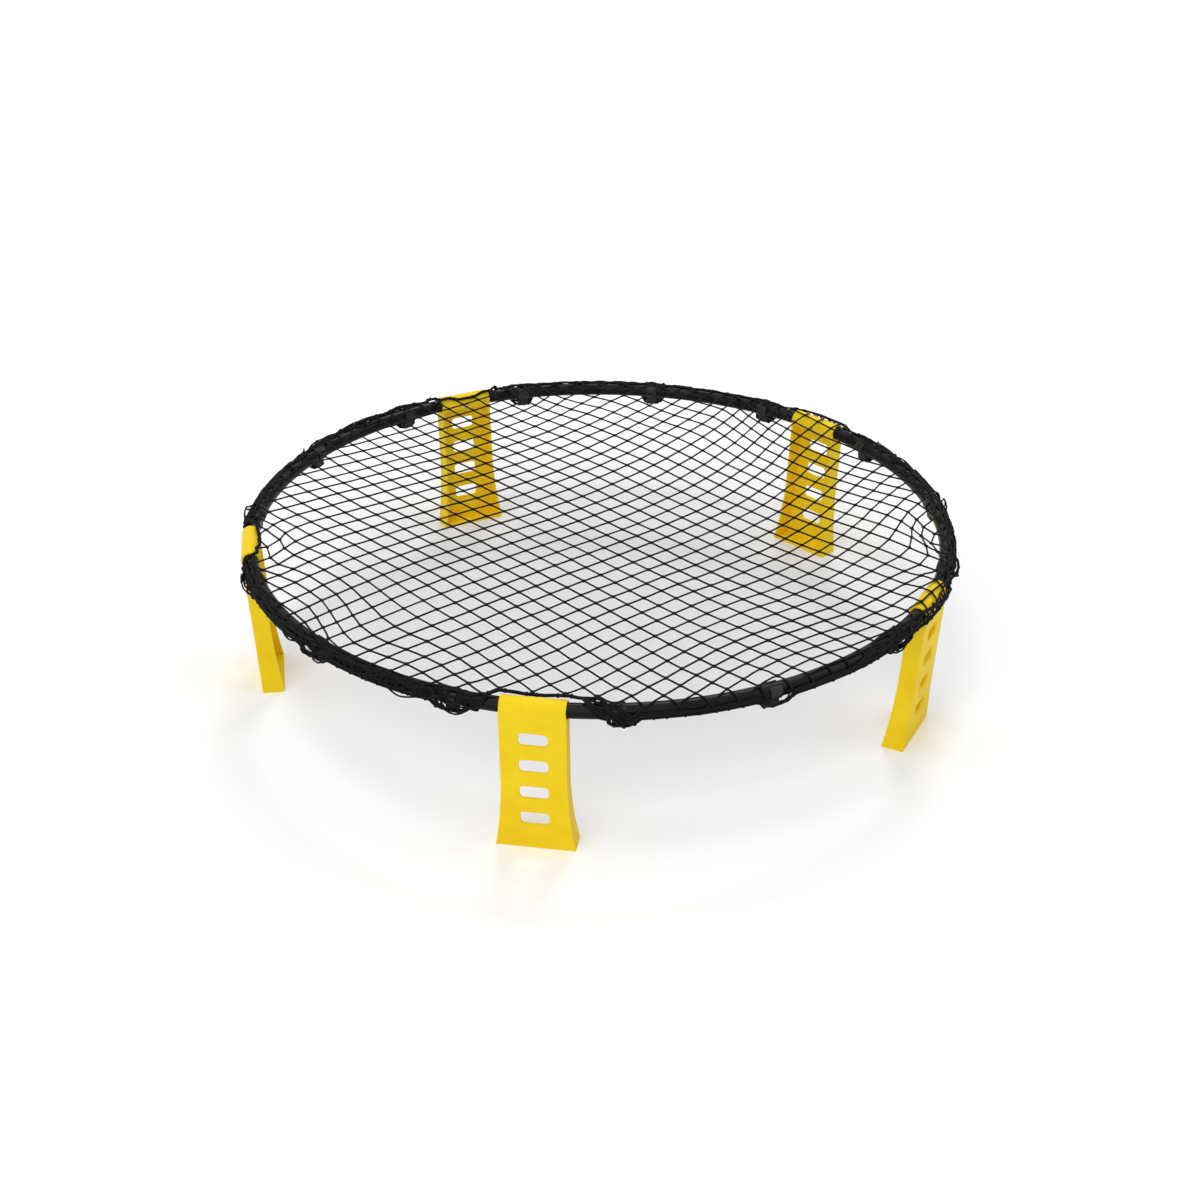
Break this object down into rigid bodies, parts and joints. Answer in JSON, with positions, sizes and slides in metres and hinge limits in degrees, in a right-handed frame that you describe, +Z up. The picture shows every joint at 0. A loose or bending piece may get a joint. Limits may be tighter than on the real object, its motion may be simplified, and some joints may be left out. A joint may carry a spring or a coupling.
{
  "type": "roundnet game net on folding legs",
  "caption": "Low round net for a bounce-ball team game: a plug-together tube ring on fold-in plastic legs, with a taut knotted net hooked under the ring.",
  "frame": {"origin": "on the ground, under the middle of the ring", "axes": "+Z up; leg 1 stands towards -Y, and the legs count anticlockwise seen from above"},
  "size_m": [0.92, 0.9257, 0.2058],
  "materials": {
    "black_tube": "moulded, satin",
    "plug_plastic": "moulded, satin",
    "hook_plastic": "moulded, satin",
    "yellow_leg": "moulded, semi-gloss",
    "screw_steel": "zinc plated",
    "cord_polyester": "twisted cord",
    "net_polyester": "knotted twine"
  },
  "bodies": {
    "ring": {"rim_tube_1": "black_tube", "rim_tube_2": "black_tube", "rim_tube_3": "black_tube", "rim_tube_4": "black_tube", "rim_tube_5": "black_tube", "joint_spigot_1": "plug_plastic", "joint_spigot_2": "plug_plastic", "joint_spigot_3": "plug_plastic", "joint_spigot_4": "plug_plastic", "joint_spigot_5": "plug_plastic", "net_hooks_1": "hook_plastic", "net_hooks_2": "hook_plastic", "net_hooks_3": "hook_plastic", "net_hooks_4": "hook_plastic", "net_hooks_5": "hook_plastic", "stop_screw_1": "screw_steel", "stop_screw_2": "screw_steel", "stop_screw_3": "screw_steel", "stop_screw_4": "screw_steel", "stop_screw_5": "screw_steel", "border_cord": "cord_polyester", "net": "net_polyester"},
    "leg_1": {"leg_1": "yellow_leg"},
    "leg_2": {"leg_2": "yellow_leg"},
    "leg_3": {"leg_3": "yellow_leg"},
    "leg_4": {"leg_4": "yellow_leg"},
    "leg_5": {"leg_5": "yellow_leg"}
  },
  "joints": [
    {"name": "leg_1_fold", "type": "hinge", "parent": "ring", "child": "leg_1", "pos_m": [0, -0.44719, 0.19], "axis": [1, 0, 0], "range_deg": [0, 80]},
    {"name": "leg_2_fold", "type": "hinge", "parent": "ring", "child": "leg_2", "pos_m": [0.42531, -0.13819, 0.19], "axis": [0.309, 0.9511, 0], "range_deg": [0, 80]},
    {"name": "leg_3_fold", "type": "hinge", "parent": "ring", "child": "leg_3", "pos_m": [0.26285, 0.36179, 0.19], "axis": [-0.809, 0.5878, 0], "range_deg": [0, 80]},
    {"name": "leg_4_fold", "type": "hinge", "parent": "ring", "child": "leg_4", "pos_m": [-0.26285, 0.36179, 0.19], "axis": [-0.809, -0.5878, 0], "range_deg": [0, 80]},
    {"name": "leg_5_fold", "type": "hinge", "parent": "ring", "child": "leg_5", "pos_m": [-0.42531, -0.13819, 0.19], "axis": [0.309, -0.9511, 0], "range_deg": [0, 80]}
  ]
}
